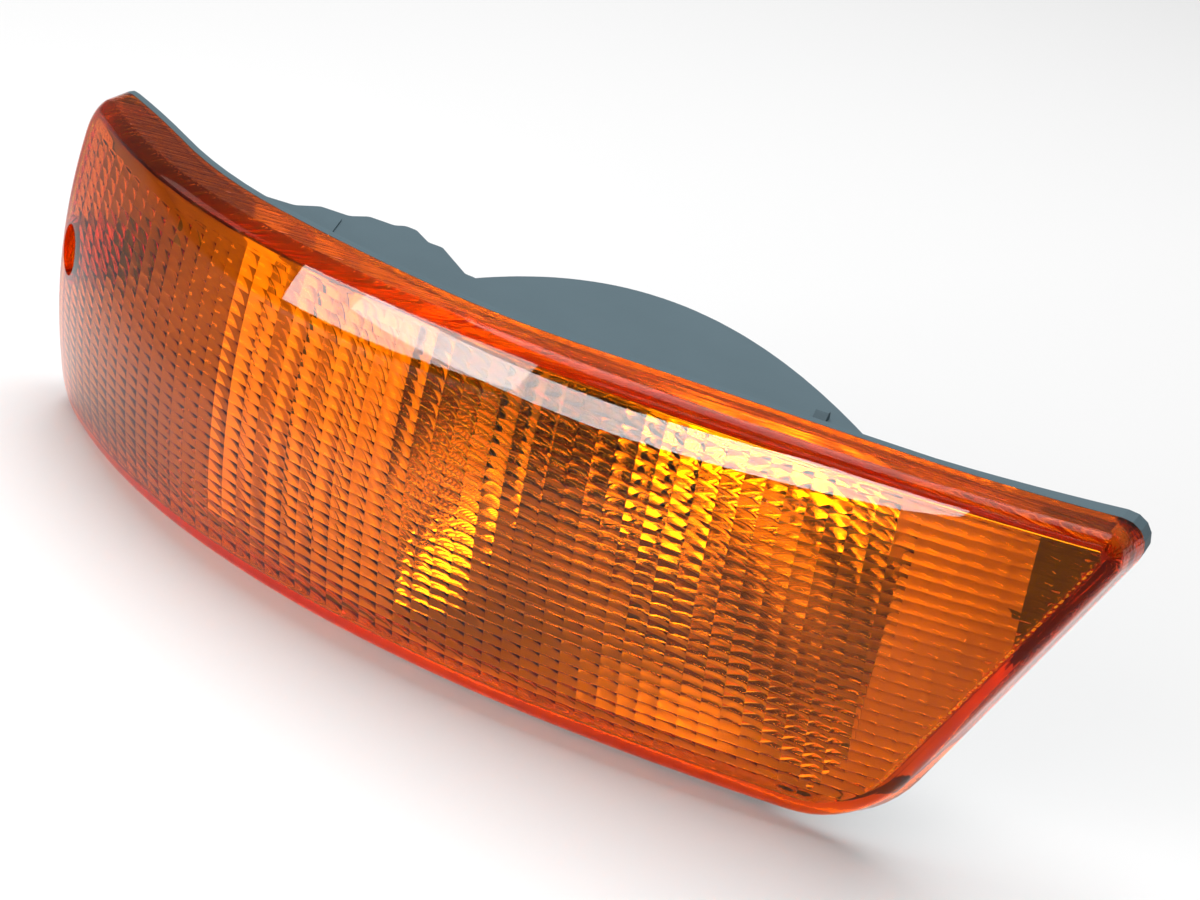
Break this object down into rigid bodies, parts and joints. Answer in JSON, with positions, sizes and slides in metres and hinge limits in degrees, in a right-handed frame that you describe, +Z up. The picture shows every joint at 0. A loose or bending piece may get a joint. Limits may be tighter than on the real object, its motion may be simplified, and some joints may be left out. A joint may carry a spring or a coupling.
{
  "type": "vehicle indicator lamp",
  "caption": "Front direction indicator lamp: long amber lens with cell optics, slanted inboard end, wrap-around outboard end with a screw well, moulded housing and twist-lock bulb holder.",
  "frame": {"origin": "seat of the fixing screw's head at the bottom of the lens's screw well, on the screw's axis", "axes": "+X inboard along the lamp, +Y back into the vehicle, +Z up"},
  "size_m": [0.2498, 0.1173, 0.0774],
  "materials": {
    "amber_lens": "clear amber acrylic, polished",
    "housing_plastic": "fine grain, inner face metallised",
    "rubber": "soft matt",
    "holder_plastic": "moulded, slightly shiny",
    "clear_glass": "clear blown glass",
    "black_glass": "opaque glass",
    "brass": "dull",
    "solder": "dull tin",
    "tungsten": "drawn wire",
    "steel_wire": "drawn wire",
    "tinned_brass": "tinned"
  },
  "bodies": {
    "lamp": {"lens": "amber_lens", "housing": "housing_plastic", "vent_cap": "rubber"},
    "holder": {"bulb_holder": "holder_plastic", "holder_seal": "rubber", "bulb_glass": "clear_glass", "bulb_cap": "brass", "bulb_pins": "brass", "bulb_insulator": "black_glass", "bulb_contact": "solder", "bulb_stem": "clear_glass", "filament": "tungsten", "filament_supports": "steel_wire", "contact_plunger": "brass", "contact_spring": "steel_wire", "feed_terminal": "tinned_brass", "earth_terminal": "tinned_brass"}
  },
  "joints": [
    {"name": "holder_twist", "type": "hinge", "parent": "lamp", "child": "holder", "pos_m": [0.11643, 0.00827, 0], "axis": [-0.2588, 0.9659, 0], "range_deg": [0, 40]}
  ]
}
